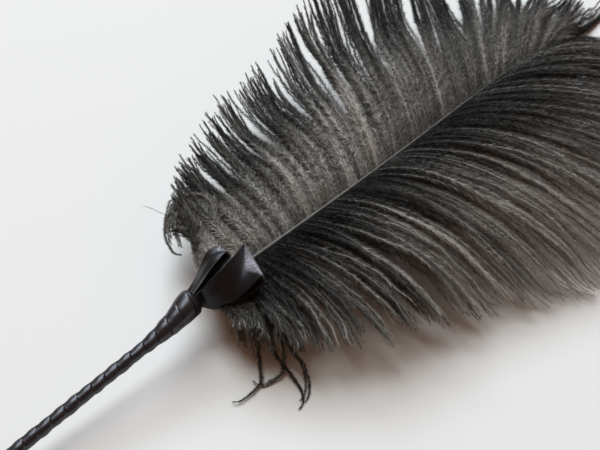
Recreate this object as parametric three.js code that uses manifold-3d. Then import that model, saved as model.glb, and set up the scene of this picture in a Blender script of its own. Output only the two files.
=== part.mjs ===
// A black ostrich plume bound to a slim ribbon-wound handle, lying on its side on a table.
// Millimetres, +Z up. The handle's butt points along -X and the plume's tip along +X.
// The plume's shaft and its locks of barbs are one grown piece. The handle, the ribbon
// wound round it and the two ribbon loops over the neck are made pieces of their own.

import * as THREE from "three";
import { mergeVertices } from "three/addons/utils/BufferGeometryUtils.js";
import Module from "manifold-3d";

const wasm = await Module();
wasm.setup();

// ---- Driving dimensions ----

const NECK_HEIGHT = 24; // the neck is where the shaft leaves the binding
const HANDLE_LENGTH = 150;
const HANDLE_PITCH = 8; // degrees, the handle rises from its butt to the neck
const STICK_RADIUS = 1.7;
const STICK_BORE = { radius: 1.2, depth: 18 }; // the hole that takes the quill
const STICK_SET_BACK = 9; // from the neck to the stick's drilled end
const STICK_PROUD = 0.8; // the stick shows this much past the ribbon at the butt
const GAP = 0.3; // between neighbouring pieces

const SHAFT_LENGTH = 232; // from the neck to the tip
const SHAFT_RADIUS = { quill: 0.9, neck: 1.3, tip: 0.45 };
const QUILL_LENGTH = 24; // inside the binding and the stick

const LOCKS_PER_SIDE = 27;
const FIRST_LOCK = 0.08; // as a share of the shaft's length
const LOCK_HALF_WIDTH = 4.8;
const LOCK_HALF_DEPTH = 2.4;
const SWAY = { turn: 4.5, lift: 7, length: 0.09 }; // how much neighbouring locks differ

const RIBBON_TURN = 6.4; // the ribbon's step along the handle for each turn
const RIBBON_SIDES = 11; // flats round the handle
const RIBBON_EDGE = 0.25; // how far an overlapped selvedge stands up
const RIBBON_THICKNESS = 0.5; // a doubled satin ribbon, as a solid

// Along the shaft, from the neck (0) to the tip (1): its heading seen from above, its pitch.
const SHAFT_HEADING = [[0, -4], [0.5, 0], [0.8, 3], [1, 3]];
const SHAFT_PITCH = [[0, 5], [0.35, 3], [0.6, 2], [0.8, -3], [1, -16]];

// How locks grow along the shaft: their length, the angle to the shaft at root and tip
// (turn), and the rise above the plane of the vane at root, middle and tip (lift).
const FAR_SIDE = {
  side: 1,
  length: [
    [0.03, 33], [0.08, 47], [0.12, 54], [0.16, 66], [0.2, 75], [0.25, 85], [0.3, 94],
    [0.36, 99], [0.42, 105], [0.5, 109], [0.6, 108], [0.75, 102], [0.9, 90], [1, 70],
  ],
  turn: [
    [
      [0.03, 70], [0.08, 93], [0.12, 87], [0.16, 81], [0.2, 74], [0.25, 70],
      [0.36, 65], [0.5, 62], [0.7, 58], [0.88, 45], [1, 20],
    ],
    [
      [0.03, 56], [0.08, 77], [0.12, 89], [0.2, 93], [0.25, 88], [0.3, 81],
      [0.36, 76], [0.42, 71], [0.5, 67], [0.7, 52], [0.88, 30], [1, 8],
    ],
  ],
  lift: [
    [[0.03, -9], [0.08, -5], [0.12, 8], [0.16, 22], [0.25, 27], [0.5, 31], [0.8, 18], [1, 8]],
    [
      [0.03, 4], [0.08, 2], [0.12, -3], [0.16, -14], [0.2, -20], [0.3, -24], [0.36, -20],
      [0.42, -14], [0.5, -5], [0.8, -8], [0.9, -14], [1, -26],
    ],
    [
      [0.03, 7], [0.08, -3], [0.12, 22], [0.16, 38], [0.25, 48], [0.3, 42],
      [0.5, 38], [0.6, 28], [0.75, 12], [0.9, -22], [1, -34],
    ],
  ],
};
const NEAR_SIDE = {
  side: -1,
  length: [
    [0.03, 20], [0.08, 35], [0.12, 52], [0.16, 68], [0.2, 76], [0.26, 86], [0.32, 95],
    [0.4, 109], [0.5, 123], [0.6, 127], [0.75, 118], [0.9, 100], [1, 75],
  ],
  turn: [
    [
      [0.03, 76], [0.08, 89], [0.12, 77], [0.16, 71], [0.2, 67], [0.26, 65],
      [0.4, 65], [0.5, 62], [0.7, 56], [0.88, 45], [1, 20],
    ],
    [
      [0.03, 116], [0.08, 122], [0.12, 113], [0.16, 100], [0.2, 92], [0.26, 87],
      [0.32, 80], [0.4, 76], [0.5, 73], [0.7, 62], [0.88, 40], [1, 10],
    ],
  ],
  lift: [
    [
      [0.03, -35], [0.08, -29], [0.12, -16], [0.16, 2], [0.2, 11],
      [0.26, 19], [0.32, 22], [0.5, 26], [0.8, 22], [1, 8],
    ],
    [
      [0.03, -6], [0.08, 0], [0.12, 2], [0.16, -1], [0.2, -7], [0.26, -13],
      [0.32, -16], [0.5, -18], [0.8, -14], [0.9, -18], [1, -26],
    ],
    [[0.03, -21], [0.08, -16], [0.12, -24], [0.16, -29], [0.4, -33], [0.5, -35], [0.7, -42], [1, -34]],
  ],
};

// Loose strands that curl away from the vane's base, as points from root to tip.
const STRAY_STRANDS = [
  [
    [17, 0, 25], [20, 14, 21], [26, 34, 20], [31, 50, 17],
    [29, 57, 12], [23, 51, 8], [19, 40, 7], [18, 31, 8],
  ],
  [[18, 0, 25], [16, -12, 18], [15, -23, 9], [11, -30, 3], [5, -34, 1], [-4, -34, 1], [-13, -32, 1.6]],
  [[19, 0, 25], [19, -16, 19], [19, -31, 10], [18, -43, 3], [13, -51, 1], [7, -54, 1], [2, -53, 1.4]],
];
const STRAND_RADIUS = { root: 1.1, tip: 0.5 };

// Outer radius of the binding at distances from the neck down the handle.
const BINDING_RADIUS = [
  [0, 5.2], [1.5, 5.9], [4.6, 5.6], [7.2, 5.3], [9.5, 4.8],
  [12, 4.35], [17.3, 3.65], [21, 3.1], [25, 2.65], [30, 2.45],
];

// How far the handle bows out towards -Y at distances from the neck.
const HANDLE_BOW = [
  [0, 0], [4, 0.5], [9, 1.4], [14, 2.1], [20, 2.4], [28, 2.4], [60, 1.6], [100, 0.8], [151, -0.1],
];

// Each loop's upper layer, from the binding to its fold: the selvedge over the shaft
// (inner) and the one over the vane (outer), measured from the neck. The strip comes back
// as a lower layer, this far `under` each of the two.
const LEFT_LOOP = [
  { inner: [0.7, -0.6, 4.5], outer: [0.7, 4.4, 1.3], under: [[0, -0.4, -1], [0, 0, -0.9]] },
  { inner: [4.4, -0.3, 6.6], outer: [7.1, 6.6, 3], under: [[0, -2.4, -1.6], [0, -0.6, -2]] },
  { inner: [9.7, 0.9, 8.6], outer: [11.8, 8.7, 5.4], under: [[0, -4.4, -2.6], [0, -1, -2.8]] },
  { inner: [15.6, 2.2, 9.8], outer: [15.8, 10, 7.6], under: [[0, -4, -3], [0, -1, -3]] },
  { inner: [20.7, 3.2, 9.6], outer: [20.1, 9.2, 8.6], under: [[0, -2, -2.6], [0, -0.5, -2.6]] },
];
const RIGHT_LOOP = [
  { inner: [0.7, -1.6, 4.2], outer: [0.7, -4.5, -0.9], under: [[0, 0, -0.8], [0, 0, -0.8]] },
  { inner: [2.6, -3.4, 7.8], outer: [3.4, -8, -0.6], under: [[0, 0, -1.6], [0, 0, -1.6]] },
  { inner: [7.6, -3.9, 10.8], outer: [6.9, -10.7, 0.6], under: [[0, 0, -2.4], [0, 0, -2.4]] },
  { inner: [13.6, -3.7, 12.8], outer: [9.9, -13.2, 2.5], under: [[0, 0, -3.2], [0, 0, -3]] },
  { inner: [21, -1.6, 12.2], outer: [16.1, -15.5, 7.2], under: [[0, 0, -4], [0, 0, -4.2]] },
  { inner: [28.2, 1.2, 10.5], outer: [22, -16.9, 11], under: [[0, 0, -4], [0, 0, -4.6]] },
];
const FOLD_REACH = 0.9; // how far a loop's fold stands out past its last row

// ---- Helpers ----

const { degToRad, lerp } = THREE.MathUtils;
const UP = new THREE.Vector3(0, 0, 1);
const NECK = new THREE.Vector3(0, 0, NECK_HEIGHT);

// The value at `x` of a list of [x, value] pairs, straight between them.
function read(pairs, x) {
  const after = pairs.findIndex(([at]) => at > x);
  if (after === 0) return pairs[0][1];
  if (after < 0) return pairs.at(-1)[1];
  const [x0, y0] = pairs[after - 1];
  const [x1, y1] = pairs[after];
  return lerp(y0, y1, (x - x0) / (x1 - x0));
}

// A repeatable swing between -1 and 1 for the given lock and quality.
function sway(lock, quality) {
  return Math.sin(lock * 12.9898 + quality * 78.233);
}

// A unit vector turned `heading` degrees from +X towards +Y and raised by `pitch`.
function direction(heading, pitch) {
  const [h, p] = [degToRad(heading), degToRad(pitch)];
  return new THREE.Vector3(Math.cos(p) * Math.cos(h), Math.cos(p) * Math.sin(h), Math.sin(p));
}

// A closed solid from points and triangles: doubles merged, collapsed triangles dropped.
function solid(points, triangles) {
  const raw = new THREE.BufferGeometry().setFromPoints(points).setIndex(triangles.flat());
  const merged = mergeVertices(raw, 1e-4);
  const kept = [];
  for (let i = 0; i < merged.index.count; i += 3) {
    const [a, b, c] = merged.index.array.slice(i, i + 3);
    if (a !== b && b !== c && a !== c) kept.push(a, b, c);
  }
  const vertProperties = merged.attributes.position.array;
  return new wasm.Manifold(
    new wasm.Mesh({ numProp: 3, vertProperties, triVerts: new Uint32Array(kept) }),
  );
}

// A solid through rings of points that run anticlockwise as seen from the last ring.
function loft(rings) {
  const size = rings[0].length;
  const last = (rings.length - 1) * size;
  const triangles = [];
  for (let here = 0; here < last; here += size) {
    for (let j = 0; j < size; j++) {
      const k = (j + 1) % size;
      triangles.push([here + j, here + k, here + size + k]);
      triangles.push([here + j, here + size + k, here + size + j]);
    }
  }
  for (let j = 1; j < size - 1; j++) {
    triangles.push([0, j + 1, j], [last, last + j, last + j + 1]);
  }
  return solid(rings.flat(), triangles);
}

// An ellipse of `sides` points round `centre`, in the plane of unit vectors `u` and `v`.
function ellipse(centre, u, v, halfU, halfV, sides) {
  return Array.from({ length: sides }, (_, j) => {
    const angle = (2 * Math.PI * j) / sides;
    return centre
      .clone()
      .addScaledVector(u, Math.cos(angle) * halfU)
      .addScaledVector(v, Math.sin(angle) * halfV);
  });
}

// Round or flattened rod along `points`; `halves(u)` gives its two half-sizes at share u.
function rod(points, halves, sides) {
  const rings = points.map((point, i) => {
    const before = points[Math.max(i - 1, 0)];
    const after = points[Math.min(i + 1, points.length - 1)];
    const along = after.clone().sub(before).normalize();
    const across = new THREE.Vector3().crossVectors(UP, along).normalize();
    const rise = new THREE.Vector3().crossVectors(along, across);
    const [halfWidth, halfDepth] = halves(i / (points.length - 1));
    return ellipse(point, across, rise, halfWidth, halfDepth, sides);
  });
  return loft(rings);
}

// The place of a point this far down the handle from the neck, `y` and `z` off its axis.
function onHandle(along, y, z) {
  const point = new THREE.Vector3(-along, y - read(HANDLE_BOW, along), z);
  return point.applyEuler(new THREE.Euler(0, degToRad(-HANDLE_PITCH), 0)).add(NECK);
}

// Where the handle bends between two distances from the neck.
function handleBends(from, to) {
  return HANDLE_BOW.map(([along]) => along).filter((along) => along > from && along < to);
}

function mesh(name, body, material) {
  const { vertProperties, triVerts } = body.getMesh();
  const geometry = new THREE.BufferGeometry();
  geometry.setAttribute("position", new THREE.BufferAttribute(vertProperties, 3));
  geometry.setIndex(new THREE.BufferAttribute(triVerts, 1));
  const made = new THREE.Mesh(geometry, material);
  made.name = name;
  return made;
}

// ---- The plume: shaft and locks, one grown piece ----

const SHAFT_STEPS = 80;
const shaftLine = (() => {
  const line = [{ point: NECK.clone(), tangent: direction(SHAFT_HEADING[0][1], SHAFT_PITCH[0][1]) }];
  for (let i = 0; i < SHAFT_STEPS; i++) {
    const t = (i + 0.5) / SHAFT_STEPS;
    const tangent = direction(read(SHAFT_HEADING, t), read(SHAFT_PITCH, t));
    const point = line.at(-1).point.clone().addScaledVector(tangent, SHAFT_LENGTH / SHAFT_STEPS);
    line.push({ point, tangent });
  }
  return line;
})();

function shaftAt(t) {
  const i = Math.min(Math.floor(t * SHAFT_STEPS), SHAFT_STEPS - 1);
  const share = t * SHAFT_STEPS - i;
  return {
    point: shaftLine[i].point.clone().lerp(shaftLine[i + 1].point, share),
    tangent: shaftLine[i].tangent.clone().lerp(shaftLine[i + 1].tangent, share).normalize(),
  };
}

// The shaft with its quill: slim in the binding, widest at the neck, fine at the tip.
function shaft() {
  const bends = handleBends(0, QUILL_LENGTH).reverse();
  const points = [QUILL_LENGTH, ...bends].map((along) => onHandle(along, 0, 0));
  const { quill, neck, tip } = SHAFT_RADIUS;
  const quillPoints = points.length;
  for (let i = 0; i <= SHAFT_STEPS; i += 4) points.push(shaftLine[i].point);
  const quillShare = (quillPoints - 0.5) / (points.length - 1);
  return rod(points, (u) => {
    const radius = u < quillShare ? quill : lerp(neck, tip, (u - quillShare) / (1 - quillShare));
    return [radius, radius];
  }, 6);
}

// A lock's centre line, walked in small steps from the shaft to its tip.
const LOCK_STEPS = 24;
function lockLine(t, growth, lock) {
  const { point, tangent } = shaftAt(t);
  const out = new THREE.Vector3().crossVectors(UP, tangent).normalize();
  const rise = new THREE.Vector3().crossVectors(tangent, out);
  out.multiplyScalar(growth.side);
  const step = (read(growth.length, t) * (1 + SWAY.length * sway(lock, 1))) / LOCK_STEPS;
  const [turn0, turn1] = growth.turn.map((pairs) => read(pairs, t) + SWAY.turn * sway(lock, 2));
  const [lift0, lift1, lift2] = growth.lift.map((pairs) => read(pairs, t) + SWAY.lift * sway(lock, 3));
  const line = [point];
  for (let i = 0; i < LOCK_STEPS; i++) {
    const u = (i + 0.5) / LOCK_STEPS;
    const turn = degToRad(lerp(turn0, turn1, u));
    const [rootShare, midShare, tipShare] = [(1 - u) * (1 - 2 * u), 4 * u * (1 - u), u * (2 * u - 1)];
    const lift = degToRad(lift0 * rootShare + lift1 * midShare + lift2 * tipShare);
    const next = line.at(-1).clone();
    next.addScaledVector(tangent, step * Math.cos(lift) * Math.cos(turn));
    next.addScaledVector(out, step * Math.cos(lift) * Math.sin(turn));
    next.addScaledVector(rise, step * Math.sin(lift));
    next.z = Math.max(next.z, lockHalves(u)[1]); // it lies on the table, not in it
    line.push(next);
  }
  return line;
}

// A lock is slim at the shaft, full from a third of its length, and pointed.
function lockHalves(u) {
  const fullness = u < 0.3 ? lerp(0.4, 1, u / 0.3) : lerp(1, 0.13, ((u - 0.3) / 0.7) ** 1.3);
  return [LOCK_HALF_WIDTH * fullness, LOCK_HALF_DEPTH * fullness];
}

const LOCK_RINGS = [0, 4, 9, 15, 20, 24];
function lock(t, growth, number) {
  const line = lockLine(t, growth, number);
  const rings = LOCK_RINGS.map((i) => {
    const along = line[Math.min(i + 1, LOCK_STEPS)].clone().sub(line[Math.max(i - 1, 0)]).normalize();
    const across = new THREE.Vector3().crossVectors(UP, along).normalize();
    const rise = new THREE.Vector3().crossVectors(along, across);
    return ellipse(line[i], across, rise, ...lockHalves(i / LOCK_STEPS), 6);
  });
  return loft(rings);
}

function strayStrand(points) {
  const curve = new THREE.CatmullRomCurve3(points.map((p) => new THREE.Vector3(...p)));
  const { root, tip } = STRAND_RADIUS;
  return rod(curve.getPoints(2 * (points.length - 1)), (u) => Array(2).fill(lerp(root, tip, u)), 5);
}

function plume() {
  let body = shaft();
  [FAR_SIDE, NEAR_SIDE].forEach((growth, side) => {
    for (let i = 0; i < LOCKS_PER_SIDE; i++) {
      const t = lerp(FIRST_LOCK, 1, i / (LOCKS_PER_SIDE - 1));
      body = body.add(lock(t, growth, i + side * LOCKS_PER_SIDE));
    }
  });
  STRAY_STRANDS.forEach((points) => {
    body = body.add(strayStrand(points));
  });
  return body;
}

// ---- The handle: a drilled stick with ribbon wound round it ----

function stick() {
  const { radius: bore, depth } = STICK_BORE;
  const [drilled, butt] = [STICK_SET_BACK, HANDLE_LENGTH + STICK_PROUD];
  const outside = [butt, ...handleBends(drilled, butt).reverse(), drilled];
  const inside = [drilled, ...handleBends(drilled, drilled + depth), drilled + depth];
  const profile = [
    [0, butt],
    ...outside.map((along) => [STICK_RADIUS, along]),
    ...inside.map((along) => [bore, along]),
    [0, drilled + depth],
  ].map(([radius, along]) => new THREE.Vector2(radius, -along));
  const turned = new THREE.LatheGeometry(profile, 12);
  const corners = turned.index.array;
  const points = [];
  for (let i = 0; i < turned.attributes.position.count; i++) {
    const { x, y, z } = new THREE.Vector3().fromBufferAttribute(turned.attributes.position, i);
    points.push(onHandle(-y, z, x));
  }
  const triangles = [];
  for (let i = 0; i < corners.length; i += 3) triangles.push([...corners.slice(i, i + 3)]);
  return solid(points, triangles);
}

// The ribbon's turns run down the handle as one helix; each turn's upper selvedge stands up
// where it overlaps the turn before. The inside is a plain bore for the stick and the quill.
const TURN_SHAPE = [[0, 1], [0.5, 0.45], [0.93, 0]]; // share of the turn, share of the ridge
function binding() {
  const columns = RIBBON_SIDES;
  const starts = Math.ceil(HANDLE_LENGTH / RIBBON_TURN + 2) * columns;
  const spot = (column, along, radius) => {
    const angle = (2 * Math.PI * (column % columns)) / columns;
    return onHandle(along, Math.cos(angle) * radius, Math.sin(angle) * radius);
  };
  const grid = [];
  for (let n = 0; n <= starts; n++) {
    for (const [share, ridge] of TURN_SHAPE) {
      const along = RIBBON_TURN * (n / columns + share - 1);
      const held = THREE.MathUtils.clamp(along, 0, HANDLE_LENGTH);
      const proud = held > 0 && held < HANDLE_LENGTH ? RIBBON_EDGE * ridge : 0;
      grid.push(spot(n, held, read(BINDING_RADIUS, held) + proud));
    }
  }
  const rows = TURN_SHAPE.length;
  const triangles = [];
  const quad = (a, b, c, d) => triangles.push([a, b, c], [a, c, d]);
  for (let n = 0; n + columns + 1 <= starts; n++) {
    for (let row = 0; row < rows; row++) {
      const here = n * rows + row;
      const beyond = row + 1 < rows ? here + 1 : (n + columns) * rows;
      quad(here, beyond, beyond + rows, here + rows);
    }
  }
  const [wide, step] = [STICK_SET_BACK - 1, STICK_SET_BACK - 1.6];
  const inside = [
    ...[HANDLE_LENGTH, ...handleBends(wide, HANDLE_LENGTH).reverse(), wide].map(
      (along) => [along, STICK_RADIUS + GAP],
    ),
    ...[step, ...handleBends(0, step).reverse(), 0].map((along) => [along, SHAFT_RADIUS.neck + GAP]),
  ];
  const [buttRim, neckRim] = [HANDLE_LENGTH, 0].map((along) => [along, read(BINDING_RADIUS, along)]);
  const wall = [buttRim, ...inside, neckRim];
  wall.slice(1).forEach(([along, radius], i) => {
    const [alongBefore, radiusBefore] = wall[i];
    for (let n = 0; n < columns; n++) {
      const first = grid.length;
      grid.push(spot(n, alongBefore, radiusBefore), spot(n, along, radius));
      grid.push(spot(n + 1, along, radius), spot(n + 1, alongBefore, radiusBefore));
      quad(first, first + 1, first + 2, first + 3);
    }
  });
  return solid(grid, triangles);
}

// ---- The ribbon loops: one strip each, out over the plume's base, folded, and back ----

function loop(rows) {
  const vector = (p) => new THREE.Vector3(...p);
  const upper = rows.map(({ inner, outer }) => [inner, outer].map((p) => vector(p).add(NECK)));
  const lower = rows.map(({ under }, i) => under.map((drop, k) => vector(drop).add(upper[i][k])));
  const [before, last] = upper.slice(-2);
  const out = last[0].clone().sub(before[0]).setLength(FOLD_REACH);
  const fold = last.map((p, k) => p.clone().lerp(lower.at(-1)[k], 0.5).add(out));
  const strip = [...upper, fold, ...lower.reverse()];
  const [inner, outer] = [0, 1].map((k) => {
    const selvedge = new THREE.CatmullRomCurve3(strip.map((pair) => pair[k]));
    return selvedge.getPoints(2 * (strip.length - 1));
  });
  const rings = inner.map((_, i) => {
    const [before, after] = [Math.max(i - 1, 0), Math.min(i + 1, inner.length - 1)];
    const along = inner[after].clone().add(outer[after]).sub(inner[before]).sub(outer[before]);
    const skin = new THREE.Vector3().crossVectors(along, outer[i].clone().sub(inner[i]));
    skin.setLength(RIBBON_THICKNESS);
    return [inner[i], outer[i], outer[i].clone().add(skin), inner[i].clone().add(skin)];
  });
  return ribbon(rings);
}

// A thin strip through four-cornered rings. Both its faces are split along the same
// diagonal, so that it keeps its thickness where it twists.
function ribbon(rings) {
  const end = 4 * (rings.length - 1);
  const triangles = [[0, 2, 1], [0, 3, 2], [end, end + 1, end + 2], [end, end + 2, end + 3]];
  for (let a = 0; a < end; a += 4) {
    const b = a + 4;
    triangles.push([a, a + 1, b + 1], [a, b + 1, b]);
    triangles.push([a + 1, a + 2, b + 2], [a + 1, b + 2, b + 1]);
    triangles.push([a + 2, a + 3, b + 2], [a + 3, b + 3, b + 2]);
    triangles.push([a + 3, a, b], [a + 3, b, b + 3]);
  }
  return solid(rings.flat(), triangles);
}

// ---- The whole object ----

const dyedBarb = new THREE.MeshStandardMaterial({ color: 0x2a2826, roughness: 0.75, metalness: 0 });
const satinRibbon = new THREE.MeshStandardMaterial({ color: 0x1d1b1e, roughness: 0.35, metalness: 0 });
const bareWood = new THREE.MeshStandardMaterial({ color: 0xb08a5c, roughness: 0.7, metalness: 0 });

const feather = new THREE.Group();
feather.add(
  mesh("plume", plume(), dyedBarb),
  mesh("handle_stick", stick(), bareWood),
  mesh("wound_ribbon", binding(), satinRibbon),
  mesh("left_ribbon_loop", loop(LEFT_LOOP), satinRibbon),
  mesh("right_ribbon_loop", loop(RIGHT_LOOP), satinRibbon),
);

// The origin is the middle of the bottom of the object's box.
const box = new THREE.Box3().setFromObject(feather);
const middle = box.getCenter(new THREE.Vector3());
feather.position.set(-middle.x, -middle.y, -box.min.z);

export default feather;
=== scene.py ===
import math

import bmesh
import bpy
import numpy as np
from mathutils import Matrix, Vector


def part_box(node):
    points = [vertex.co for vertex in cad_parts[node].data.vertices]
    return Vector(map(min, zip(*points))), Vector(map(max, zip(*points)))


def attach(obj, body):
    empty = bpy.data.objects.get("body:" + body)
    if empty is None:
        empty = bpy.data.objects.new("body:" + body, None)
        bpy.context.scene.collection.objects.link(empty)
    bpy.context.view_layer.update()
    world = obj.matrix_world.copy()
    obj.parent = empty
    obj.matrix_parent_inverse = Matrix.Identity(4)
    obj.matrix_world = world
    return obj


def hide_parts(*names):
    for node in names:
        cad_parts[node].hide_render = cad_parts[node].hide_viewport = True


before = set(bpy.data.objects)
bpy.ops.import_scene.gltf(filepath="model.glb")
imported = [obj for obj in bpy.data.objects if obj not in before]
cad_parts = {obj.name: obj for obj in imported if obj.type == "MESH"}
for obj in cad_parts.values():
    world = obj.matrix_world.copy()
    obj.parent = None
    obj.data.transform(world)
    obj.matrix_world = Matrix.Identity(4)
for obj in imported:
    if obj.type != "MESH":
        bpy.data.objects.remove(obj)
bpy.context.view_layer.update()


# ---- The handle's stick ----
# A slim turned stick, bare wood, pushed over the plume's quill. Ribbon covers all of it
# but its butt, so its own solid stays and only takes its wood.

MM = 0.001
HANDLE_LENGTH = 150.0
HANDLE_PITCH = math.radians(8.0)
STICK_RADIUS = 1.7
STICK_PROUD = 0.8
# How far the handle bows out towards -Y at distances from the neck.
HANDLE_BOW = [
    (0, 0), (4, 0.5), (9, 1.4), (14, 2.1), (20, 2.4), (28, 2.4), (60, 1.6), (100, 0.8), (151, -0.1),
]


def read(pairs, x):
    return np.interp(x, [pair[0] for pair in pairs], [pair[1] for pair in pairs])


def colour_ramp(nodes, stops):
    ramp = nodes.new("ShaderNodeValToRGB")
    ramp.color_ramp.elements.remove(ramp.color_ramp.elements[1])
    for i, (place, colour) in enumerate(stops):
        element = ramp.color_ramp.elements[0] if i == 0 else ramp.color_ramp.elements.new(place)
        element.position = place
        element.color = (*colour, 1.0)
    return ramp


def new_material(name, **sockets):
    material = bpy.data.materials.new(name)
    material.use_nodes = True
    surface = material.node_tree.nodes["Principled BSDF"]
    for socket, value in sockets.items():
        surface.inputs[socket.replace("_", " ")].default_value = value
    return material, material.node_tree.nodes, material.node_tree.links, surface


def bare_wood():
    material, nodes, links, surface = new_material("bare_wood", Roughness=0.62)
    place = nodes.new("ShaderNodeTexCoord")
    grain = nodes.new("ShaderNodeTexNoise")
    grain.inputs["Scale"].default_value = 900.0
    grain.inputs["Detail"].default_value = 5.0
    stretch = nodes.new("ShaderNodeMapping")
    stretch.inputs["Scale"].default_value = (0.06, 1.0, 1.0)
    tone = colour_ramp(nodes, [(0.3, (0.24, 0.13, 0.06)), (0.7, (0.46, 0.3, 0.15))])
    links.new(place.outputs["Object"], stretch.inputs["Vector"])
    links.new(stretch.outputs["Vector"], grain.inputs["Vector"])
    links.new(grain.outputs["Fac"], tone.inputs["Fac"])
    links.new(tone.outputs["Color"], surface.inputs["Base Color"])
    return material


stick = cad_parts["handle_stick"]
stick.data.materials.clear()
stick.data.materials.append(bare_wood())

# The neck, where the shaft leaves the binding, lies on the stick's own axis.
stick_low, stick_high = (np.array(corner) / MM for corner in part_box("handle_stick"))
stick_run = HANDLE_LENGTH + STICK_PROUD
NECK = np.array([
    stick_low[0] + stick_run * math.cos(HANDLE_PITCH) + STICK_RADIUS * math.sin(HANDLE_PITCH),
    stick_high[1] - STICK_RADIUS + read(HANDLE_BOW, stick_run),
    stick_low[2] + stick_run * math.sin(HANDLE_PITCH) + STICK_RADIUS * math.cos(HANDLE_PITCH),
])


# ---- The wound ribbon ----
# One long black satin ribbon, wound round the stick from the neck to the butt in
# overlapping turns. Over the bound tails of the loops it swells into a thick neck.

RIBBON_TURN = 6.4
RIBBON_WIDTH = 10.8
RIBBON_SWELL = 0.3
RIBBON_THICKNESS = 0.12
BINDING_RADIUS = [
    (0, 4.7), (1.5, 5.75), (4.6, 5.6), (7.2, 5.3), (9.5, 4.8),
    (12, 4.35), (17.3, 3.65), (21, 3.1), (25, 2.65), (30, 2.45),
]


def put_in_scene(name, mesh, material, stands_for):
    piece = bpy.data.objects.new(name, mesh)
    bpy.context.collection.objects.link(piece)
    mesh.materials.append(material)
    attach(piece, "root")
    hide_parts(stands_for)
    return piece


def surface_mesh(name, across, along, place):
    """A grid sheet whose point at (u, v), each from 0 to 1, is put at place(u, v) mm from the neck."""
    sheet = bmesh.new()
    bmesh.ops.create_grid(sheet, x_segments=across, y_segments=along, size=0.5)
    uv_layer = sheet.loops.layers.uv.new("along_ribbon")
    for face in sheet.faces:
        face.smooth = True
        for loop in face.loops:
            loop[uv_layer].uv = (loop.vert.co.x + 0.5, loop.vert.co.y + 0.5)
    for vertex in sheet.verts:
        spot = place(vertex.co.x + 0.5, vertex.co.y + 0.5)
        vertex.co = Vector((np.asarray(spot) + NECK) * MM)
    mesh = bpy.data.meshes.new(name)
    sheet.to_mesh(mesh)
    sheet.free()
    return mesh


def satin(name, dark, gloss, painted_highlight_from=None):
    """Black satin with a fine weave; given a share of the loop, a lilac-grey highlight is painted into its
    colour on the loop's end from there on.
    """
    material, nodes, links, surface = new_material(name, Roughness=0.33, Specular_IOR_Level=gloss)
    surface.inputs["Specular Tint"].default_value = (0.86, 0.88, 1.0, 1.0)
    place = nodes.new("ShaderNodeTexCoord")
    weave = nodes.new("ShaderNodeTexNoise")
    weave.inputs["Scale"].default_value = 1500.0
    weave.inputs["Detail"].default_value = 3.0
    tone = colour_ramp(nodes, [(0.35, dark), (0.75, tuple(channel * 2.4 for channel in dark))])
    bump = nodes.new("ShaderNodeBump")
    bump.inputs["Strength"].default_value = 0.35
    bump.inputs["Distance"].default_value = 0.00008
    links.new(place.outputs["Object"], weave.inputs["Vector"])
    links.new(weave.outputs["Fac"], tone.inputs["Fac"])
    links.new(weave.outputs["Fac"], bump.inputs["Height"])
    links.new(bump.outputs["Normal"], surface.inputs["Normal"])
    links.new(tone.outputs["Color"], surface.inputs["Base Color"])
    # A painted highlight: the upper layer's end is coloured lilac-grey, where its fold catches the light.
    if painted_highlight_from:
        painted_highlight_colour = colour_ramp(nodes, [(0.35, (0.09, 0.087, 0.1)), (0.65, (0.3, 0.292, 0.325))])
        links.new(weave.outputs["Fac"], painted_highlight_colour.inputs["Fac"])
        mix = nodes.new("ShaderNodeMixRGB")
        links.new(painted_fold_highlight(nodes, links, place, painted_highlight_from), mix.inputs["Fac"])
        links.new(tone.outputs["Color"], mix.inputs["Color1"])
        links.new(painted_highlight_colour.outputs["Color"], mix.inputs["Color2"])
        links.new(mix.outputs["Color"], surface.inputs["Base Color"])
    return material


def maths(nodes, links, operation, *operands):
    step = nodes.new("ShaderNodeMath")
    step.operation = operation
    for socket, operand in zip(step.inputs, operands):
        if isinstance(operand, (int, float)):
            socket.default_value = operand
        else:
            links.new(operand, socket)
    return step.outputs[0]


def painted_fold_highlight(nodes, links, place, painted_highlight_from):
    """Where the highlight is painted: 1 on the upper layer's end, by its UV, from further back in the middle
    of its width.
    """
    split = nodes.new("ShaderNodeSeparateXYZ")
    links.new(place.outputs["UV"], split.inputs["Vector"])
    across, along = split.outputs["X"], split.outputs["Y"]
    middle = maths(nodes, links, "SINE", maths(nodes, links, "MULTIPLY", across, math.pi))
    edge = maths(nodes, links, "MULTIPLY_ADD", middle, 0.06, along)
    band = maths(nodes, links, "MULTIPLY_ADD", edge, 60.0, -60.0 * painted_highlight_from)
    band.node.use_clamp = True
    return maths(nodes, links, "MULTIPLY", band, maths(nodes, links, "LESS_THAN", along, 0.53))


def thicken(piece, thickness):
    wall = piece.modifiers.new("thickness", "SOLIDIFY")
    wall.thickness = thickness * MM
    wall.offset = 0.0


ribbon_turns = HANDLE_LENGTH / RIBBON_TURN + 1.0


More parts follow.
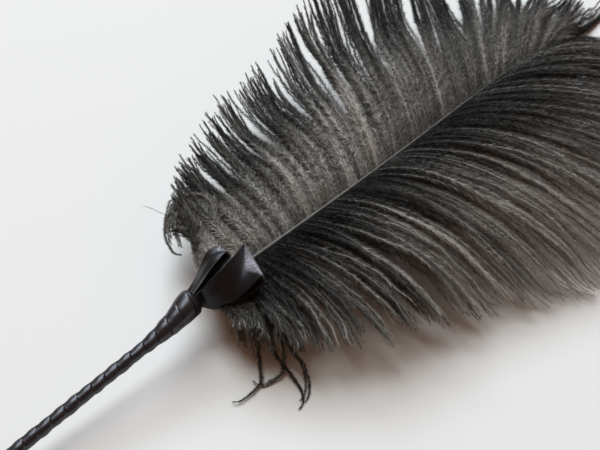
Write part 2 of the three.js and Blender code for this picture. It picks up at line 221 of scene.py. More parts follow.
def wound_place(u, v):
    """A point of the ribbon, u across it and v along it, tucked in where the next turn hides it."""
    turn = v * ribbon_turns
    down = RIBBON_TURN * (turn - 1.0) + u * RIBBON_WIDTH
    down = min(max(down, 0.0), HANDLE_LENGTH - 0.02 * u)
    angle = 2 * math.pi * turn
    crease = 0.05 * math.sin(5 * angle + 9 * u) * math.sin(1.7 * turn) + 0.06 * math.sin(2.3 * angle)
    seen = min(u * RIBBON_WIDTH / RIBBON_TURN, 1.0)
    swell = RIBBON_SWELL * (1 + 0.35 * math.sin(3.1 * turn)) * (0.5 - 0.5 * math.cos(2 * math.pi * seen))
    swell *= min(max((down - 6) / 12, 0.1), 1.0)  # flat on the thick neck, full from 18 mm on
    tuck = 0.05 * u + 0.35 * max(0.0, u - RIBBON_TURN / RIBBON_WIDTH)
    radius = read(BINDING_RADIUS, down) + swell - tuck + crease
    x = -down
    y, z = math.cos(angle) * radius - read(HANDLE_BOW, down), math.sin(angle) * radius
    c, s = math.cos(HANDLE_PITCH), math.sin(HANDLE_PITCH)
    return x * c - z * s, y, x * s + z * c


wound_satin = satin("wound_satin", (0.008, 0.0075, 0.009), 0.75)
wound_ribbon = put_in_scene(
    "wound_ribbon_strip", surface_mesh("wound_ribbon_strip", 8, 1100, wound_place),
    wound_satin, "wound_ribbon",
)
thicken(wound_ribbon, RIBBON_THICKNESS)


# ---- The bow's two loops ----
# Wider ribbon of the same satin: each loop leaves the binding, spreads over the base of
# the plume, folds over and comes back underneath to be bound with the rest.

LEFT_LOOP = [
    ((0.7, -0.6, 4.5), (0.7, 4.4, 1.3)),
    ((4.4, -0.3, 6.6), (7.1, 6.6, 3.0)),
    ((9.7, 0.9, 8.6), (11.8, 8.7, 5.4)),
    ((15.6, 2.2, 9.8), (15.8, 10.0, 7.6)),
    ((20.7, 3.2, 9.6), (20.1, 9.2, 8.6)),
]
RIGHT_LOOP = [
    ((0.7, -1.6, 4.2), (0.7, -4.5, -0.9)),
    ((2.6, -3.4, 7.8), (3.4, -8.0, -0.6)),
    ((7.6, -3.9, 10.8), (6.9, -10.7, 0.6)),
    ((13.6, -3.7, 12.8), (9.9, -13.2, 2.5)),
    ((21.0, -1.6, 12.2), (16.1, -15.5, 7.2)),
    ((28.2, 1.2, 10.5), (22.0, -16.9, 11.0)),
]
# From each row's two corners down to the loop's lower layer.
LEFT_FOLD = [
    ((0, -0.4, -1.0), (0, 0, -0.9)),
    ((0, -2.4, -1.6), (0, -0.6, -2.0)),
    ((0, -4.4, -2.6), (0, -1.0, -2.8)),
    ((0, -4.0, -3.0), (0, -1.0, -3.0)),
    ((0, -2.0, -2.6), (0, -0.5, -2.6)),
]
RIGHT_FOLD = [
    ((0, 0, -0.8), (0, 0, -0.8)),
    ((0, 0, -1.6), (0, 0, -1.6)),
    ((0, 0, -2.4), (0, 0, -2.4)),
    ((0, 0, -3.2), (0, 0, -3.0)),
    ((0, 0, -4.0), (0, 0, -4.2)),
    ((0, 0, -4.0), (0, 0, -4.6)),
]
UP = np.array([0.0, 0.0, 1.0])
FOLD_REACH = 1.2  # how far the fold stands out past the last row
ROOT_INSIDE = 3.0  # how far a loop's ends run on into the binding
LOOP_THICKNESS = 0.25


def smooth_line(points, share):
    """The point at a share from 0 to 1 of a smooth curve through the points."""
    points = np.asarray(points, float)
    spans = len(points) - 1
    i = min(int(share * spans), spans - 1)
    f = share * spans - i
    before, start, end, after = (points[min(max(i + k, 0), spans)] for k in (-1, 0, 1, 2))
    return 0.5 * (
        2 * start + (end - before) * f
        + (2 * before - 5 * start + 4 * end - after) * f ** 2
        + (3 * start - before - 3 * end + after) * f ** 3
    )


def loop_strip(upper, fold):
    """The two selvedges of a loop: out over the plume, round the fold and back."""
    lower = np.add(upper, fold)
    out = np.subtract(upper[-1][0], upper[-2][0])
    turn = (upper[-1] + lower[-1]) / 2 + FOLD_REACH * out / np.linalg.norm(out)
    inside = [np.multiply(row, (0, 0.8, 0.8)) - (ROOT_INSIDE, 0, 0) for row in (upper[0], lower[0])]
    return np.array([inside[0], *upper, turn, *lower[::-1], inside[1]])


def loop_place(strip):
    def place(u, v):
        inner, outer = (smooth_line(strip[:, k], v) for k in (0, 1))
        gather = 0.22 * math.cos(4 * math.pi * u + 0.7) * abs(2 * v - 1) ** 3
        crease = 0.16 * math.sin(7 * u + 19 * v) * math.sin(math.pi * u)
        return inner + (outer - inner) * u + UP * (gather + crease)

    return place


# The last number of each loop is the share along it from which its end gets a painted highlight.
for side_name, upper, fold, painted_highlight_from in (
    ("left", LEFT_LOOP, LEFT_FOLD, 0.44), ("right", RIGHT_LOOP, RIGHT_FOLD, 0.433),
):
    name = side_name + "_loop_ribbon"
    loop_satin = satin(side_name + "_loop_satin", (0.006, 0.0056, 0.006), 0.3, painted_highlight_from)
    strip = loop_strip(np.array(upper), np.array(fold))
    loop_piece = put_in_scene(
        name, surface_mesh(name, 24, 110, loop_place(strip)),
        loop_satin, side_name + "_ribbon_loop",
    )
    thicken(loop_piece, LOOP_THICKNESS)


# ---- The plume's shaft ----
# The feather's own shaft, grown in one with its barbs: greyish black horn, oval, widest at
# the neck and drawn out to a thread at the tip.

SHAFT_LENGTH = 232.0
SHAFT_STEPS = 80
SHAFT_RADIUS = {"quill": 0.9, "neck": 1.15, "tip": 0.3}
QUILL_LENGTH = 8.0
SHAFT_HEADING = [(0, -4), (0.5, 0), (0.8, 3), (1, 3)]
SHAFT_PITCH = [(0, 5), (0.35, 3), (0.6, 2), (0.8, -3), (1, -16)]


def unit(vectors):
    return vectors / np.linalg.norm(vectors, axis=-1, keepdims=True)


middles = (np.arange(SHAFT_STEPS) + 0.5) / SHAFT_STEPS
heading, pitch = (np.radians(read(table, middles)) for table in (SHAFT_HEADING, SHAFT_PITCH))
shaft_tangents = np.stack([
    np.cos(pitch) * np.cos(heading), np.cos(pitch) * np.sin(heading), np.sin(pitch),
], axis=1)
shaft_points = np.vstack([np.zeros(3), np.cumsum(shaft_tangents, axis=0) * SHAFT_LENGTH / SHAFT_STEPS])
shaft_tangents = np.vstack([shaft_tangents[:1], shaft_tangents])


def shaft_at(t):
    stations = np.linspace(0, 1, SHAFT_STEPS + 1)
    points, tangents = (
        np.stack([np.interp(t, stations, line[:, k]) for k in range(3)], axis=-1)
        for line in (shaft_points, shaft_tangents)
    )
    return points, unit(tangents)


def horn():
    material, nodes, links, surface = new_material("shaft_horn", Roughness=0.42)
    place = nodes.new("ShaderNodeTexCoord")
    flecks = nodes.new("ShaderNodeTexNoise")
    flecks.inputs["Scale"].default_value = 260.0
    flecks.inputs["Detail"].default_value = 6.0
    tone = colour_ramp(nodes, [(0.3, (0.03, 0.028, 0.026)), (0.7, (0.1, 0.094, 0.087))])
    links.new(place.outputs["Object"], flecks.inputs["Vector"])
    links.new(flecks.outputs["Fac"], tone.inputs["Fac"])
    links.new(tone.outputs["Color"], surface.inputs["Base Color"])
    return material


def tapered_rod(name, points, radii, sides=10):
    """A rod of round rings along the points, extruded ring by ring and closed at both ends."""
    tangents = unit(np.gradient(points, axis=0))
    across = unit(np.cross(UP, tangents))
    rise = np.cross(tangents, across)
    rod = bmesh.new()
    angles = np.arange(sides) * 2 * math.pi / sides
    made = bmesh.ops.create_circle(rod, cap_ends=True, segments=sides, radius=1.0)
    ring = made["verts"]
    number = {}
    for k, (centre, a, b, radius) in enumerate(zip(points, across, rise, radii)):
        if k:
            ring_edges = [edge for edge in rod.edges if all(vertex in ring for vertex in edge.verts)]
            grown = bmesh.ops.extrude_edge_only(rod, edges=ring_edges)["geom"]
            ring = sort_round([v for v in grown if isinstance(v, bmesh.types.BMVert)], ring)
        for vertex, angle in zip(ring, angles):
            spot = centre + radius * (math.cos(angle) * a + math.sin(angle) * b)
            vertex.co = Vector((spot + NECK) * MM)
            number[vertex] = len(number)
    bmesh.ops.contextual_create(rod, geom=ring)
    bmesh.ops.recalc_face_normals(rod, faces=rod.faces)
    # Extruding leaves the faces in an order that changes from run to run, so they are put in one.
    places = {face: [number[vertex] for vertex in face.verts] for face in rod.faces}
    rod.faces.sort(key=lambda face: min(places[face]) * len(number) + max(places[face]))
    rod.verts.sort(key=lambda vertex: number[vertex])
    for face in rod.faces:
        face.smooth = True
    mesh = bpy.data.meshes.new(name)
    rod.to_mesh(mesh)
    rod.free()
    return mesh


def sort_round(grown, ring):
    """The extruded vertices in the order of the ring that they came from."""
    order = []
    for vertex in ring:
        above = [edge.other_vert(vertex) for edge in vertex.link_edges]
        order.append(next(other for other in above if other in grown))
    return order


quill_line = -np.array([[math.cos(HANDLE_PITCH), 0, math.sin(HANDLE_PITCH)]]) * QUILL_LENGTH
shaft_line = np.vstack([quill_line, shaft_points])
shaft_radii = np.concatenate([
    [SHAFT_RADIUS["quill"]],
    np.linspace(SHAFT_RADIUS["neck"], SHAFT_RADIUS["tip"], SHAFT_STEPS + 1),
])
shaft = put_in_scene(
    "plume_shaft", tapered_rod("plume_shaft", shaft_line, shaft_radii), horn(),
    "plume",
)


# ---- The barbs ----
# Hundreds of soft barbs grow from both sides of the shaft, each a fine rib fringed with
# barbules. They cling together in small tufts, and the tufts draw into locks at their tips.

TABLE_TOP = -NECK[2]  # below the neck
LOCKS_PER_SIDE = 27
FIRST_LOCK = 0.08
SWAY = {"turn": 4.5, "lift": 7.0, "length": 0.09}
# How far chance turns and lifts a tuft or a barb, in degrees, and the shares of its table's
# length that it may have.
TUFT_CHANCE = {"turn": 2.5, "lift": 5.0, "length": (0.9, 1.06)}
BARB_CHANCE = {"turn": 3.0, "lift": 6.0, "length": (0.84, 1.04)}
# "length", "turn" and "lift" are (share of the shaft, mm or degrees); "turn" and "lift" have a
# table for the barb's root and tip, with one for its middle in "lift". "looseness", "tone",
# "contrast" and "crinkle" run along the shaft too; "lean", "fringe" and "shade" run along each
# barb. A draw gathers the barbs between two shares of their length, by its table on the shaft.
# This lightness is painted into the barbs' colour: "shade" holds painted light and shade along
# each barb, "tone" holds painted shade on the near side, "contrast" scales the painted shade,
# and the ribs' extra lightness is a painted highlight.
FAR_SIDE = {
    "side": 1.0,
    "length": [
        (0.03, 31), (0.08, 44), (0.12, 53), (0.16, 65), (0.2, 76), (0.25, 88), (0.3, 97),
        (0.36, 103), (0.42, 107), (0.5, 109), (0.6, 109), (0.75, 106), (0.9, 98), (1, 74),
    ],
    "turn": [
        [(0.03, 70), (0.08, 93), (0.12, 87), (0.16, 81), (0.2, 74), (0.25, 70), (0.36, 65), (0.5, 62),
         (0.7, 54), (0.88, 34), (1, 12)],
        [(0.03, 56), (0.08, 77), (0.12, 89), (0.2, 93), (0.25, 88), (0.3, 81), (0.36, 76),
         (0.42, 71), (0.5, 67), (0.7, 48), (0.88, 20), (1, 4)],
    ],
    "lift": [
        [(0.03, -9), (0.08, 0), (0.12, 11), (0.16, 20), (0.25, 27), (0.5, 31), (0.8, 18), (1, 8)],
        [(0.03, 4), (0.08, 0), (0.12, -6), (0.16, -13), (0.2, -20), (0.3, -24), (0.36, -20),
         (0.42, -14), (0.5, -5), (0.8, -8), (0.9, -10), (1, -14)],
        [(0.03, 7), (0.08, 10), (0.12, 23), (0.16, 34), (0.25, 46), (0.3, 42), (0.5, 38), (0.6, 28),
         (0.75, 12), (0.9, -8), (1, -16)],
    ],
    "looseness": ([0.1, 0.35], [0.3, 1.0]),
    "barbs": 480,
    "tufts": 88,
    "tuft_draw": (0.1, 0.75, ([0.1, 0.4], [0.5, 0.75])),
    "lock_draw": (0.45, 1.0, ([0.1, 0.25, 0.45, 0.8], [0.1, 0.2, 0.55, 0.65])),
    "lean": ([0, 0.4, 0.6, 1], [50, 46, 32, 24]),
    "fringe": ([0, 0.08, 0.5, 0.85, 1], [1.4, 2.6, 3.2, 2.8, 1.3]),
    # Painted light along each barb: the inner band lighter, where the barbules catch the light, and darker
    # out towards the tips.
    "shade": ([0, 0.1, 0.4, 0.65, 1], [0.12, 0.27, 0.2, -0.13, -0.18]),
    "tone": ([0, 0.1, 0.25, 0.5, 0.65, 1], [0.12, 0.12, 0.06, 0.06, -0.06, -0.08]),
    "contrast": ([0, 1], [1.0, 1.0]),
    "tone_change": (0.05, 0.1),
    # A faint highlight painted along each rib.
    "rib_painted_highlight": 0.04,
    "crinkle": ([0, 0.4, 0.7], [1.0, 1.0, 0.4]),
}
NEAR_SIDE = {
    "side": -1.0,
    "length": [
        (0.03, 18), (0.08, 34), (0.12, 53), (0.16, 65), (0.2, 72), (0.26, 81), (0.32, 91),
        (0.4, 107), (0.5, 122), (0.6, 126), (0.75, 117), (0.9, 99), (1, 75),
    ],
    "turn": [
        [(0.03, 76), (0.08, 89), (0.12, 77), (0.16, 71), (0.2, 67), (0.26, 65), (0.4, 65), (0.5, 62),
         (0.7, 52), (0.88, 36), (1, 15)],
        [(0.03, 116), (0.08, 122), (0.12, 113), (0.16, 100), (0.2, 92), (0.26, 87), (0.32, 80),
         (0.4, 76), (0.5, 73), (0.7, 58), (0.88, 32), (1, 8)],
    ],
    "lift": [
        [(0.03, -35), (0.08, -29), (0.12, -16), (0.16, 2), (0.2, 11), (0.26, 19), (0.32, 22), (0.5, 26),
         (0.8, 22), (1, 8)],
        [(0.03, -6), (0.08, 0), (0.12, 2), (0.16, -1), (0.2, -7), (0.26, -13), (0.32, -16), (0.5, -18),
         (0.8, -14), (0.9, -18), (1, -26)],
        [(0.03, -21), (0.08, -16), (0.12, -24), (0.16, -29), (0.4, -33), (0.5, -35), (0.7, -42), (1, -34)],
    ],
    "looseness": ([0, 1], [1.0, 1.0]),
    "barbs": 480,
    "tufts": 120,
    "tuft_draw": (0.02, 0.8, ([0, 1], [0.78, 0.78])),
    "lock_draw": (0.55, 1.0, ([0, 1], [0.34, 0.34])),
    "lean": ([0, 0.3, 0.7, 1], [30, 30, 28, 22]),
    "fringe": ([0, 0.08, 0.5, 0.85, 1], [1.6, 3.0, 3.2, 2.4, 1.0]),
    # Painted shade along each barb: darkest by the shaft, lighter out towards the tips.
    "shade": ([0, 0.12, 0.3, 0.5, 1], [-0.42, -0.38, -0.08, 0.18, 0.32]),
    # Painted shade along the shaft: darker at the base, and towards the tip where the barbs turn away from
    # the light; lighter in the middle.
    "tone": ([0, 0.12, 0.2, 0.35, 0.46, 0.6, 0.8, 1], [-0.22, -0.23, -0.16, 0.03, 0.13, 0.02, -0.06, -0.04]),
    # Towards the tip the painted shade by the shaft fades out.
    "contrast": ([0.6, 0.85], [1.0, 0.3]),
    "tone_change": (0.08, 0.1),
    # A highlight painted along each rib, where its gloss catches the light.
    "rib_painted_highlight": 0.24,
    "crinkle": ([0, 1], [0.3, 0.3]),
}
FIRST_BARB = 0.03
BARB_STEPS = 40
BARBULE_STEP = 0.2  # along the barb, between neighbouring pairs of barbules
BARBULE_BASE = 2  # how many such steps a barbule is wide at its root
RIB_WIDTH = (0.34, 0.12)
RIB_STEP = 10  # in the same steps
BARBULE_TONE_CHANGE = 0.13
CRINKLES = np.array([(7.0, 0.3), (3.1, 0.16)])  # how long and how wide each wave is
WAVE_SIZE = {"across": 0.7, "rise": 0.6}  # of the slow waves that run out along each barb
LOCK_CLEARANCE = 0.8  # of locks and tufts above the table
BARB_CLEARANCE = 0.5  # of the lowest single barbs; chance lifts the others up to
CLEARANCE_CHANCE = 2.5  # this much more


def sway(lock, quality):
    return np.sin(lock * 12.9898 + quality * 78.233)


def ease(share, start, end):
    x = np.clip((share - start) / (end - start), 0, 1)
    return x * x * (3 - 2 * x)


def walk_barbs(t, growth, turn_shift, lift_shift, stretch, lowest):
    """Centre lines of barbs rooted at shares t of the shaft, walked in small steps."""
    point, tangent = shaft_at(t)
    out = unit(np.cross(UP, tangent))
    rise = np.cross(tangent, out)
    out = out * growth["side"]
    step = (read(growth["length"], t) * stretch / BARB_STEPS)[:, None]
    turn0, turn1 = (read(pairs, t) + turn_shift for pairs in growth["turn"])
    lift0, lift1, lift2 = (read(pairs, t) + lift_shift for pairs in growth["lift"])
    line = [point]
    for i in range(BARB_STEPS):
        u = (i + 0.5) / BARB_STEPS
        turn = np.radians(turn0 + (turn1 - turn0) * u)[:, None]
        lift = lift0 * (1 - u) * (1 - 2 * u) + lift1 * 4 * u * (1 - u) + lift2 * u * (2 * u - 1)
        lift = np.radians(lift)[:, None]
        flat = np.cos(turn) * tangent + np.sin(turn) * out
        ahead = line[-1] + step * (np.cos(lift) * flat + np.sin(lift) * rise)
        ahead[:, 2] = np.maximum(ahead[:, 2], lowest)
        line.append(ahead)
    return np.stack(line, axis=1)


def roots_along(count):
    """Shares of the shaft at which barbs are rooted, closer together towards the neck."""
    return FIRST_BARB + (1 - FIRST_BARB) * np.linspace(0, 1, count) ** 1.5


def gather(lines, t, middles, middle_t, draw, dice):
    """Lines drawn towards the middle line rooted nearest to them; also which one that is."""
    *when, how_much = draw
    shifted = t[:, None] + dice.normal(0, 0.3 / len(middle_t), (len(t), 1))
    nearest = np.abs(shifted - middle_t[None]).argmin(axis=1)
    u = np.linspace(0, 1, BARB_STEPS + 1)[None]
    weight = ease(u, *when) * np.interp(t, *how_much)[:, None] * dice.uniform(0.7, 1.25, (len(t), 1))
    return lines + weight[..., None] * (middles[nearest] - lines), nearest


def grow_side(growth, side_number, dice):
    """The middle lines of one side's barbs, and each one's (lightness, contrast, crinkle)."""
    lock_t = np.linspace(FIRST_LOCK, 1.0, LOCKS_PER_SIDE)
    numbers = np.arange(LOCKS_PER_SIDE) + side_number * LOCKS_PER_SIDE
    loose = np.interp(lock_t, *growth["looseness"])
    locks = walk_barbs(
        lock_t, growth, loose * SWAY["turn"] * sway(numbers, 2), loose * SWAY["lift"] * sway(numbers, 3),
        1 + SWAY["length"] * sway(numbers, 1), TABLE_TOP + LOCK_CLEARANCE,
    )
    tuft_t = roots_along(growth["tufts"])
    count = len(tuft_t)
    loose = np.interp(tuft_t, *growth["looseness"])
    tufts = walk_barbs(
        tuft_t, growth, loose * dice.normal(0, TUFT_CHANCE["turn"], count),
        loose * dice.normal(0, TUFT_CHANCE["lift"], count),
        dice.uniform(*TUFT_CHANCE["length"], count), TABLE_TOP + LOCK_CLEARANCE,
    )
    tufts, _ = gather(tufts, tuft_t, locks, lock_t, growth["lock_draw"], dice)
    count = growth["barbs"]
    t = roots_along(count)
    lowest = TABLE_TOP + BARB_CLEARANCE + dice.uniform(0, CLEARANCE_CHANCE, count)
    lines = walk_barbs(
        t, growth, dice.normal(0, BARB_CHANCE["turn"], count),
        dice.normal(0, BARB_CHANCE["lift"], count), dice.uniform(*BARB_CHANCE["length"], count), lowest,
    )
    lines, tuft = gather(lines, t, tufts, tuft_t, growth["tuft_draw"], dice)
    u = np.linspace(0, 1, BARB_STEPS + 1)[None]
    along = unit(np.gradient(lines, axis=1))
    across = unit(np.cross(UP, along))
    rise = np.cross(along, across)
    for direction, size in ((across, WAVE_SIZE["across"]), (rise, WAVE_SIZE["rise"])):
        waves = u * dice.uniform(2.0, 5.0, (count, 1)) + dice.uniform(0, 1, (count, 1))
        swing = size * dice.uniform(0.2, 1.0, (count, 1)) * u ** 0.8
        lines = lines + direction * (swing * np.sin(2 * math.pi * waves))[..., None]
        curl = ease(u, 0.75, 1.05) * dice.normal(0, 0.9, (count, 1))
        lines = lines + direction * curl[..., None]
    lines[..., 2] = np.maximum(lines[..., 2], lowest[:, None])
    # Lightness along the shaft, holding painted shade on the near side, plus chance per tuft and per barb.
    shades = 0.5 + np.interp(t, *growth["tone"])
    per_tuft, per_barb = growth["tone_change"]
    shades += dice.normal(0, per_tuft, growth["tufts"])[tuft] + dice.normal(0, per_barb, count)
    contrasts, crinkles = (np.interp(t, *growth[quality]) for quality in ("contrast", "crinkle"))
    return lines, np.stack([np.clip(shades, 0.1, 0.9), contrasts, crinkles], axis=1)


def barb_mesh(name, lines, looks, growth, dice):
    """Joined ribs and barbules of many barbs; the UV map holds how light each one is, painted light and shade
    included.
    """
    corners, triangles, uvs = [], [], []
    start = 0

    def add(points, faces, tones, places):
        nonlocal start
        corners.append(points)
        triangles.append(faces + start)
        uvs.append(np.stack([np.clip(tones, 0.02, 0.98), places], axis=1))
        start += len(points)

    for line, (shade, contrast, crinkle) in zip(lines, looks):
        steps = np.linalg.norm(np.diff(line, axis=0), axis=1)
        run = np.concatenate([[0], np.cumsum(steps)])
        count = max(int(run[-1] / BARBULE_STEP), 12)
        marks = np.linspace(0, run[-1], count + 1)
        spine = np.stack([np.interp(marks, run, line[:, k]) for k in range(3)], axis=1)
        along = unit(np.gradient(spine, axis=0))
        across = unit(np.cross(UP, along))
        rise = np.cross(along, across)
        share = marks / run[-1]
        crinkled = ease(share, 0.0, 0.2) * (1 - 0.8 * ease(share, 0.5, 0.95))
        for wave, size in CRINKLES * np.array([1, crinkle]):
            for direction in (across, rise):
                phase = dice.uniform(0, 7) + marks * 2 * math.pi / wave * dice.uniform(0.8, 1.25)
                spine = spine + direction * (size * crinkled * np.sin(phase))[:, None]
        roots = np.arange(count + 1 - BARBULE_BASE)
        middle = roots + BARBULE_BASE // 2
        place = share[middle]
        # Painted light and shade along the barb, by the side's table.
        base_tone = shade + contrast * np.interp(place, *growth["shade"])
        for side in (1.0, -1.0):
            roll = dice.normal(0, 0.7, len(roots)) + (0 if side > 0 else math.pi)
            angle = np.radians(np.interp(place, *growth["lean"]) * dice.uniform(0.6, 1.4, len(roots)))
            size = np.interp(place, *growth["fringe"]) * dice.uniform(0.55, 1.2, len(roots))
            sideways = np.cos(roll)[:, None] * across[middle] + np.sin(roll)[:, None] * rise[middle]
            reach = np.cos(angle)[:, None] * along[middle] + np.sin(angle)[:, None] * sideways
            tips = spine[middle] + reach * size[:, None]
            faces = np.stack([roots, roots + BARBULE_BASE, len(spine) + roots], axis=1)
            tones = base_tone + dice.normal(0, BARBULE_TONE_CHANGE, len(roots))
            add(np.vstack([spine, tips]), faces, tones, place)
        picked = np.arange(0, count + 1, RIB_STEP)
        rib = spine[picked] + 0.1 * rise[picked]
        side_step = across[picked] * np.linspace(*RIB_WIDTH, len(rib))[:, None] / 2
        left = np.arange(len(rib) - 1)
        right = left + len(rib)
        faces = np.vstack([
            np.stack([left, right, right + 1], axis=1), np.stack([left, right + 1, left + 1], axis=1),
        ])
        place = np.tile(share[picked][:-1], 2)
        # The rib painted lighter than its barbules: a painted highlight.
        tones = shade + growth["rib_painted_highlight"] + contrast * np.interp(place, *growth["shade"])
        add(np.vstack([rib + side_step, rib - side_step]), faces, tones, place)
    corners, triangles, uvs = np.vstack(corners), np.vstack(triangles), np.vstack(uvs)
    corners[:, 2] = np.maximum(corners[:, 2], TABLE_TOP + 0.05)
    mesh = bpy.data.meshes.new(name)
    mesh.vertices.add(len(corners))
    mesh.vertices.foreach_set("co", ((corners + NECK) * MM).astype(np.float32).ravel())
    mesh.loops.add(triangles.size)
    mesh.loops.foreach_set("vertex_index", triangles.astype(np.int32).ravel())
    mesh.polygons.add(len(triangles))
    mesh.polygons.foreach_set("loop_start", np.arange(0, triangles.size, 3, dtype=np.int32))
    layer = mesh.uv_layers.new(name="OFBake")
    layer.data.foreach_set("uv", np.repeat(uvs, 3, axis=0).astype(np.float32).ravel())
    mesh.update(calc_edges=True)
    return mesh


def dyed_barb_and_painted_light():
    """Dyed black keratin, with painted light and shade: how light each barbule is comes from its place in the
    UV map.
    """
    material, nodes, links, surface = new_material(
        "dyed_barb_and_painted_light", Roughness=0.55, Specular_IOR_Level=0.13,
    )
    own_uv = nodes.new("ShaderNodeUVMap")
    own_uv.uv_map = "OFBake"
    split = nodes.new("ShaderNodeSeparateXYZ")
    tone = colour_ramp(nodes, [
        (0.0, (0.003, 0.003, 0.003)), (0.3, (0.014, 0.0135, 0.0125)), (0.55, (0.066, 0.063, 0.058)),
        (0.8, (0.2, 0.188, 0.172)), (1.0, (0.48, 0.455, 0.42)),
    ])
    links.new(own_uv.outputs["UV"], split.inputs["Vector"])
    links.new(split.outputs["X"], tone.inputs["Fac"])
    links.new(tone.outputs["Color"], surface.inputs["Base Color"])
    return material


PARTS_PER_SIDE = 3
barb_dye_and_painted_light = dyed_barb_and_painted_light()
dice = np.random.default_rng(20)
for side_number, (side_name, growth) in enumerate((("far", FAR_SIDE), ("near", NEAR_SIDE))):
    lines, looks = grow_side(growth, side_number, dice)
    for part, rows in enumerate(np.array_split(np.arange(len(lines)), PARTS_PER_SIDE)):
        name = f"{side_name}_barbs_{part + 1}"
        mesh = barb_mesh(name, lines[rows], looks[rows], growth, dice)
        put_in_scene(name, mesh, barb_dye_and_painted_light, "plume")


# ---- The stray barbs ----
# Soft short barbs at the plume's base: on the far side they curl up into a hook, on the near
# side they hang down as fluff below the bow. A few have worked loose and trail on the table.

CURL_PATHS = [
    [(23.5, 13.6, 0.0), (29.4, 20.2, 2.6), (36.3, 29.7, 3.0), (37.1, 37.5, 2.6), (32.8, 42.5, 2.0),
     (27.4, 43.5, 1.4), (22.0, 39.3, 0.6), (17.5, 33.9, -0.4), (14.1, 27.6, -1.4)],
    [(22.3, 14.8, 0.0), (27.2, 20.9, 2.4), (32.3, 29.0, 2.8), (32.7, 35.5, 2.4), (29.9, 39.8, 1.8),
     (26.1, 40.5, 1.0), (21.4, 37.3, 0.2), (17.5, 32.6, -0.6)],
    [(21.1, 15.9, 0.0), (25.1, 21.6, 2.2), (28.1, 28.0, 2.4), (28.0, 33.3, 2.0), (26.5, 36.4, 1.4),
     (23.3, 36.5, 0.6), (20.1, 34.0, 0.0)],
    [(19.5, 16.6, 0.0), (20.8, 21.1, 1.6), (20.8, 27.0, 1.8), (19.8, 31.7, 1.2), (18.0, 34.2, 0.6)],
]
FLUFF_PATHS = [
    [(19.8, -11.4, -2.0), (14.0, -13.5, -6.0), (9.6, -15.7, -12.0), (7.7, -19.4, -16.0)],
    [(20.9, -13.9, -2.0), (15.6, -17.2, -6.0), (11.5, -20.9, -12.0), (9.6, -25.7, -17.0)],
    [(21.9, -16.3, -2.0), (17.8, -21.4, -6.0), (14.8, -26.2, -12.0), (13.3, -30.6, -17.0)],
    [(23.1, -17.4, -2.0), (20.8, -24.6, -5.0), (19.4, -30.1, -11.0), (18.2, -34.9, -16.0)],
    [(24.1, -18.7, -1.0), (24.2, -26.8, -4.0), (24.4, -33.6, -9.0), (23.5, -38.6, -14.0)],
    [(25.6, -19.5, -1.0), (27.6, -29.1, -3.0), (29.7, -36.2, -8.0), (29.8, -41.8, -12.0)],
]
STRAY_BARBS = [
    [(27.7, 35.1, 2.0), (30.1, 43.2, 2.6), (33.3, 49.7, 2.8), (36.3, 56.8, 2.8)],
    [(19.4, 19.0, 0.0), (23.2, 32.3, 2.6), (22.8, 39.8, 2.5), (19.0, 40.0, 1.5), (15.2, 36.4, 0.4),
     (12.3, 32.6, -0.6), (11.3, 28.9, -1.5), (10.8, 25.4, -2.2), (12.6, 22.5, -2.6)],
    [(19.2, -22.7, -6.0), (18.9, -29.4, -12.0), (17.2, -33.6, -17.0), (13.6, -37.8, -20.5),
     (10.1, -39.3, -21.5), (5.9, -38.6, -22.3), (2.2, -37.5, -22.6), (1.1, -33.6, -22.8)],
    [(17.6, -15.0, -4.0), (15.6, -20.0, -10.0), (12.1, -24.7, -16.0), (9.0, -28.0, -19.0),
     (5.7, -32.3, -21.0), (2.4, -36.2, -22.3), (-0.8, -37.0, -22.7), (-5.1, -37.4, -22.9),
     (-9.5, -37.1, -22.9), (-12.0, -35.5, -22.8), (-13.1, -32.9, -22.3)],
    [(18.2, -17.9, -5.0), (17.4, -23.4, -11.0), (15.4, -27.8, -15.0), (13.9, -32.9, -18.0),
     (13.8, -37.6, -20.0), (13.4, -43.1, -21.5), (12.2, -48.7, -22.5), (10.3, -52.2, -22.8),
     (7.3, -54.4, -22.8), (1.5, -54.8, -22.4)],
    [(19.3, -25.0, -6.0), (18.9, -31.8, -11.0), (18.1, -38.1, -16.0), (18.6, -42.0, -18.5),
     (16.7, -46.2, -21.0), (14.5, -49.7, -22.0), (10.2, -53.0, -22.8), (5.1, -54.8, -22.6)],
]
STRAY_HAIR = [
    [(20.6, 34.6, 1.5), (20.2, 39.3, 1.8), (19.3, 43.2, 2.0), (17.3, 49.9, 2.2), (15.0, 53.0, 2.4)],
]
# The rib lift in these tables is a painted highlight; the fluff is darker at its roots and lighter at its
# tips, the curl lighter in its middle.
CURL_FRINGE = {
    "lean": ([0, 1], [34, 26]), "fringe": ([0, 0.5, 1], [2.2, 2.6, 1.6]),
    "shade": ([0, 0.5, 1], [0.08, 0.16, 0.06]), "rib_painted_highlight": 0.1,
}
FLUFF_FRINGE = {
    "lean": ([0, 1], [38, 28]), "fringe": ([0, 0.5, 1], [2.4, 2.6, 1.2]),
    "shade": ([0, 0.5, 1], [-0.2, 0.02, 0.2]), "rib_painted_highlight": 0.16,
}
STRAY_FRINGE = {
    "lean": ([0, 1], [42, 34]), "fringe": ([0, 0.5, 0.8, 1], [2.4, 2.2, 1.6, 1.0]), "shade": ([0, 1], [0, 0]),
    "rib_painted_highlight": 0.0,
}
HAIR_FRINGE = {**STRAY_FRINGE, "fringe": ([0, 1], [0.35, 0.2])}


def barbs_along(path, count, spread):
    """Barbs that run together along one path, each a little apart from it and of its own length."""
    shares = np.linspace(0, 1, 61)
    apart = np.interp(shares, [0, 1], spread)
    lines = []
    for _ in range(count):
        length = dice.uniform(0.8, 1.0)
        middle = np.array([smooth_line(path, share) for share in shares * length])
        lines.append(middle + np.outer(apart, dice.normal(0, 1, 3)))
    return lines


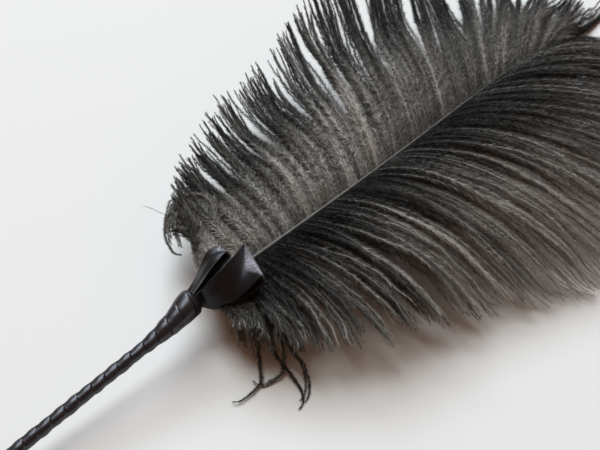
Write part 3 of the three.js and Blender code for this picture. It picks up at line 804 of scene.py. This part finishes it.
for name, paths, count, spread, fringe in (
    ("curled_barbs", CURL_PATHS, 20, (0.8, 1.8), CURL_FRINGE),
    ("fluff_barbs", FLUFF_PATHS, 11, (0.6, 2.0), FLUFF_FRINGE),
    ("stray_barbs", STRAY_BARBS, 2, (0.2, 0.5), STRAY_FRINGE),
    ("stray_hair", STRAY_HAIR, 1, (0.0, 0.0), HAIR_FRINGE),
):
    lines = [line for path in paths for line in barbs_along(path, count, spread)]
    looks = [(shade, 1.0, 0.5) for shade in dice.normal(0.48, 0.08, len(lines))]
    mesh = barb_mesh(name, lines, looks, fringe, dice)
    put_in_scene(name, mesh, barb_dye_and_painted_light, "plume")


# ---- The table, the light and the camera ----
# A plain pale table top. Two broad soft lights hang beyond the plume, one high over it and one
# lower to the right; what they leave dark is filled by the warm light of the room.

scene = bpy.context.scene
scene.view_settings.view_transform = "Standard"

TABLE_REACH = 15.0  # metres, far enough for the low views
table = bmesh.new()
bmesh.ops.create_grid(table, x_segments=1, y_segments=1, size=TABLE_REACH)
table_mesh = bpy.data.meshes.new("table_top")
table.to_mesh(table_mesh)
table.free()
table_top = bpy.data.objects.new("table_top", table_mesh)
bpy.context.collection.objects.link(table_top)
pale, _, _, pale_surface = new_material("pale_table", Roughness=0.85)
pale_surface.inputs["Base Color"].default_value = (0.83, 0.83, 0.825, 1.0)
table_mesh.materials.append(pale)


def soft_light(name, place, target, size, power, colour):
    lamp = bpy.data.lights.new(name, "AREA")
    lamp.shape = "RECTANGLE"
    lamp.size, lamp.size_y = size
    lamp.energy = power
    lamp.color = colour
    holder = bpy.data.objects.new(name, lamp)
    bpy.context.collection.objects.link(holder)
    holder.location = place
    holder.rotation_euler = (Vector(target) - Vector(place)).to_track_quat("-Z", "Y").to_euler()


LIGHT_TARGET = (0.05, 0.0, 0.0)
soft_light("overhead", (0.4, 1.3, 4.6), LIGHT_TARGET, (2.5, 2.5), 128.0, (0.915, 1.0, 1.02))
soft_light("window", (1.76, 2.96, 3.36), LIGHT_TARGET, (2.6, 2.0), 135.0, (0.86, 1.0, 1.1))
world = bpy.data.worlds.new("room")
scene.world = world
world.use_nodes = True
sky = world.node_tree.nodes["Background"]
sky.inputs["Color"].default_value = (1.0, 0.52, 0.3, 1.0)
sky.inputs["Strength"].default_value = 0.2

VIEW_AZIMUTH, VIEW_ELEVATION = math.radians(-43.61), math.radians(48.0)
VIEW_DISTANCE = 498.2
VIEW_TARGET = np.array([60.8, 2.3, -4.0])  # from the neck
view_back = np.array([
    math.sin(VIEW_AZIMUTH) * math.cos(VIEW_ELEVATION),
    -math.cos(VIEW_AZIMUTH) * math.cos(VIEW_ELEVATION),
    math.sin(VIEW_ELEVATION),
])
lens = bpy.data.cameras.new("camera")
lens.lens = 70.0
lens.clip_start = 0.01
camera = bpy.data.objects.new("camera", lens)
bpy.context.collection.objects.link(camera)
camera.location = Vector((NECK + VIEW_TARGET + view_back * VIEW_DISTANCE) * MM)
camera.rotation_euler = Vector(-view_back).to_track_quat("-Z", "Y").to_euler()
scene.camera = camera
